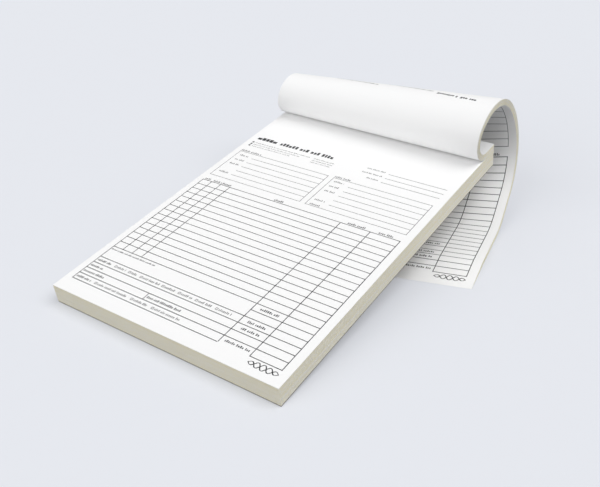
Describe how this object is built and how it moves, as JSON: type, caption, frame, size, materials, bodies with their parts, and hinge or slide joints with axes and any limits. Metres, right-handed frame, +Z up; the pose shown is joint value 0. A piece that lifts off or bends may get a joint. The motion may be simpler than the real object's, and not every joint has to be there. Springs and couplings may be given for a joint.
{
  "type": "duplicate receipt book",
  "caption": "Head-glued pad of two-part receipt forms with its used sets curled over the head and tucked under the pad, so the pad leans with its foot on the table.",
  "frame": {"origin": "middle of the whole book's footprint, on the table", "axes": "+Z up from the table, +Y from the foot of the page to its glued head, +X to the right of a reader"},
  "size_m": [0.1676, 0.2342, 0.0746],
  "materials": {
    "white_paper": "matte white carbonless paper with a printed form",
    "yellow_paper": "matte canary carbonless paper",
    "set_edges": "cut edges of white and canary sheets in turn",
    "chipboard": "uncoated grey chipboard",
    "padding_glue": "dried white padding compound, faintly glossy"
  },
  "bodies": {
    "pad": {"backing_board": "chipboard", "unused_sets_01": "set_edges", "unused_sets_02": "set_edges", "unused_sets_03": "set_edges", "unused_sets_04": "set_edges", "unused_sets_05": "set_edges", "unused_sets_06": "set_edges", "unused_sets_07": "set_edges", "unused_sets_08": "set_edges", "unused_sets_09": "set_edges", "unused_sets_10": "set_edges", "unused_sets_11": "set_edges", "unused_sets_12": "set_edges", "next_duplicate": "yellow_paper", "next_original": "white_paper", "current_duplicate_head": "yellow_paper", "current_original_head": "white_paper", "turned_stub": "set_edges", "turned_front_1": "set_edges", "head_glue": "padding_glue"},
    "current_original": {"current_original": "white_paper"},
    "current_duplicate": {"current_duplicate": "yellow_paper"},
    "turned_front_2": {"turned_front_2": "set_edges"},
    "turned_crown_1": {"turned_crown_1": "set_edges"},
    "turned_crown_2": {"turned_crown_2": "set_edges"},
    "turned_back_1": {"turned_back_1": "set_edges"},
    "turned_back_2": {"turned_back_2": "set_edges"},
    "turned_tail": {"turned_drop": "set_edges", "turned_landing": "set_edges", "turned_tail": "set_edges", "turned_tail_ends": "set_edges"}
  },
  "joints": [
    {"name": "original_lift", "type": "hinge", "parent": "pad", "child": "current_original", "pos_m": [-0.01395, 0.05198, 0.03595], "axis": [-1, 0, 0], "range_deg": [0, 70]},
    {"name": "duplicate_lift", "type": "hinge", "parent": "pad", "child": "current_duplicate", "pos_m": [-0.01395, 0.05199, 0.03588], "axis": [-1, 0, 0], "range_deg": [0, 32]},
    {"name": "sets_turn", "type": "hinge", "parent": "pad", "child": "turned_front_2", "pos_m": [-0.01381, 0.07429, 0.04577], "axis": [0.9996, -0.0269, 0.0109], "range_deg": [0, 48.88]},
    {"name": "sets_bend_2", "type": "hinge", "parent": "turned_front_2", "child": "turned_crown_1", "pos_m": [-0.01338, 0.0728, 0.05833], "axis": [0.9988, -0.0303, 0.0397], "range_deg": [0, 47.62]},
    {"name": "sets_bend_3", "type": "hinge", "parent": "turned_crown_1", "child": "turned_crown_2", "pos_m": [-0.01224, 0.08703, 0.06944], "axis": [0.9976, 0.007, 0.0685], "range_deg": [0, 45.86]},
    {"name": "sets_bend_4", "type": "hinge", "parent": "turned_crown_2", "child": "turned_back_1", "pos_m": [-0.01066, 0.10408, 0.06361], "axis": [0.9973, 0.0511, 0.053], "range_deg": [0, 43.69]},
    {"name": "sets_bend_5", "type": "hinge", "parent": "turned_back_1", "child": "turned_back_2", "pos_m": [-0.00766, 0.11158, 0.03924], "axis": [0.9973, 0.0715, -0.0153], "range_deg": [0, 41.52]},
    {"name": "sets_bend_6", "type": "hinge", "parent": "turned_back_2", "child": "turned_tail", "pos_m": [-0.00407, 0.09745, 0.01811], "axis": [0.9968, 0.0318, -0.0733], "range_deg": [0, 45.25]}
  ],
  "couplings": [
    {"joint": "duplicate_lift", "follows": "original_lift", "ratio": 0.45},
    {"joint": "sets_bend_2", "follows": "sets_turn", "ratio": 0.96399},
    {"joint": "sets_bend_3", "follows": "sets_turn", "ratio": 0.92799},
    {"joint": "sets_bend_4", "follows": "sets_turn", "ratio": 0.88359},
    {"joint": "sets_bend_5", "follows": "sets_turn", "ratio": 0.8392},
    {"joint": "sets_bend_6", "follows": "sets_turn", "ratio": 0.91551}
  ]
}
